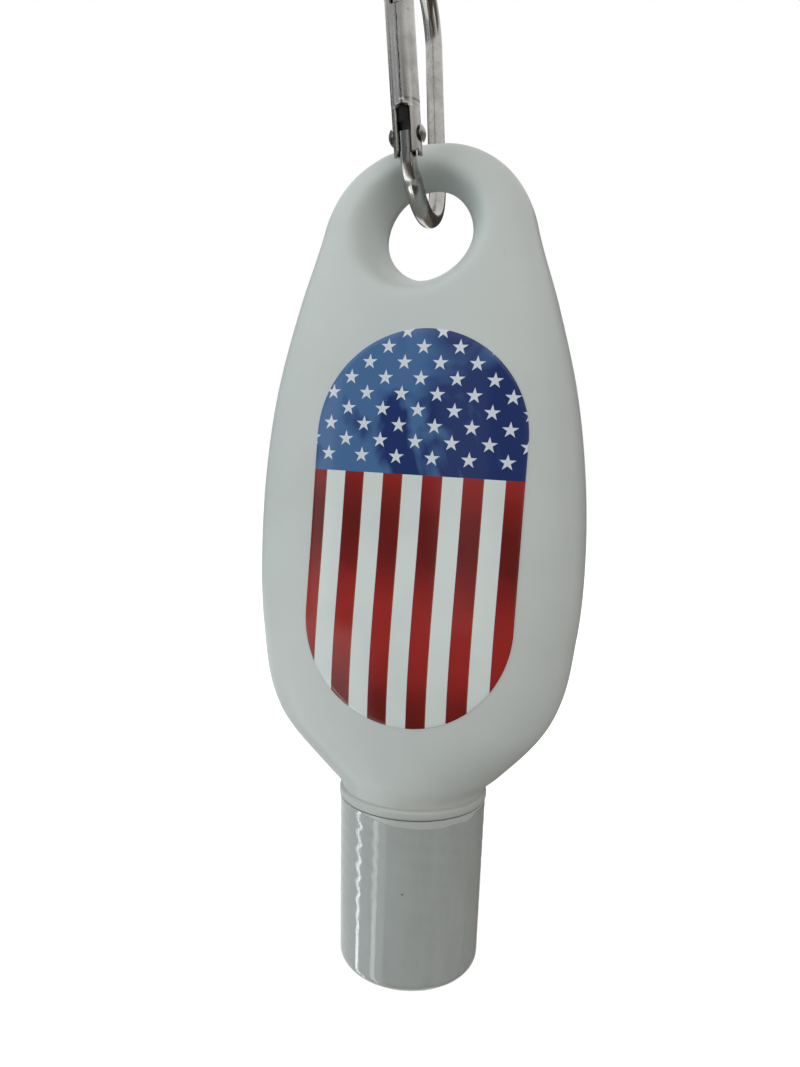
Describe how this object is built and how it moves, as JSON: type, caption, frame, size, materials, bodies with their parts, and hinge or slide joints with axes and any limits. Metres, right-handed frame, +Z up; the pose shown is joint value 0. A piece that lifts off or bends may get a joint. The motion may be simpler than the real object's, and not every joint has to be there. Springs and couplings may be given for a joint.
{
  "type": "hanging travel lotion bottle",
  "caption": "Flat white squeeze bottle with a disc-top screw cap, a hole through its top for hanging, and a small snap hook with a sprung gate through that hole.",
  "frame": {"origin": "inside of the hook's upper bend, where a strap or ring bears", "axes": "+Z up along the hanging bottle, -Y out of the printed front, +X to the right seen from the front"},
  "size_m": [0.053, 0.0288, 0.1664],
  "materials": {
    "body": "matte",
    "front_print": "gloss",
    "back_print": "gloss",
    "cap": "gloss",
    "disc": "satin",
    "liner": "matte",
    "film": "gloss",
    "hook_metal": "polished, lightly worn",
    "gate_metal": "polished, lightly worn",
    "rivet_metal": "satin",
    "spring_steel": "satin"
  },
  "bodies": {
    "hook": {"hook_frame": "hook_metal", "gate_rivet": "rivet_metal"},
    "gate": {"gate_tube": "gate_metal", "gate_latch_pin": "rivet_metal", "gate_spring": "spring_steel"},
    "plunger": {"gate_plunger": "rivet_metal"},
    "bottle": {"bottle_neck": "body", "bottle_body": "body", "bottle_top": "body", "front_label": "front_print", "back_label": "back_print"},
    "liner": {"cap_liner": "liner"},
    "cap": {"cap_shell": "cap", "shrink_sleeve": "film"},
    "disc": {"cap_disc": "disc"}
  },
  "joints": [
    {"name": "gate_hinge", "type": "hinge", "parent": "hook", "child": "gate", "pos_m": [0.00245, -0.0086, -0.0318], "axis": [-0.9971, 0, -0.0767], "range_deg": [0, 25], "stiffness_Nm_per_rad": 0.06, "springref_deg": -11.46},
    {"name": "plunger_slide", "type": "slide", "parent": "gate", "child": "plunger", "axis": [-0.0765, -0.068, 0.9947], "range_m": [0, 0.0006], "deforming": ["gate_spring"]},
    {"name": "bottle_swing", "type": "hinge", "parent": "hook", "child": "bottle", "pos_m": [0.00314, 0, -0.04078], "axis": [0, 1, 0], "range_deg": [-60, 44]},
    {"name": "liner_lift", "type": "slide", "parent": "bottle", "child": "liner", "axis": [0, 0, -1], "range_m": [0, 0.0064]},
    {"name": "cap_turn", "type": "hinge", "parent": "liner", "child": "cap", "pos_m": [0.00394, 0, -0.14928], "axis": [0, 0, -1], "range_deg": [0, 720]},
    {"name": "disc_press", "type": "hinge", "parent": "cap", "child": "disc", "pos_m": [0.00394, 0, -0.16038], "axis": [1, 0, 0], "range_deg": [0, 25]}
  ],
  "couplings": [
    {"joint": "plunger_slide", "follows": "gate_hinge", "m_per_rad": 0.00135},
    {"joint": "liner_lift", "follows": "cap_turn", "m_per_rad": 0.00050532}
  ]
}
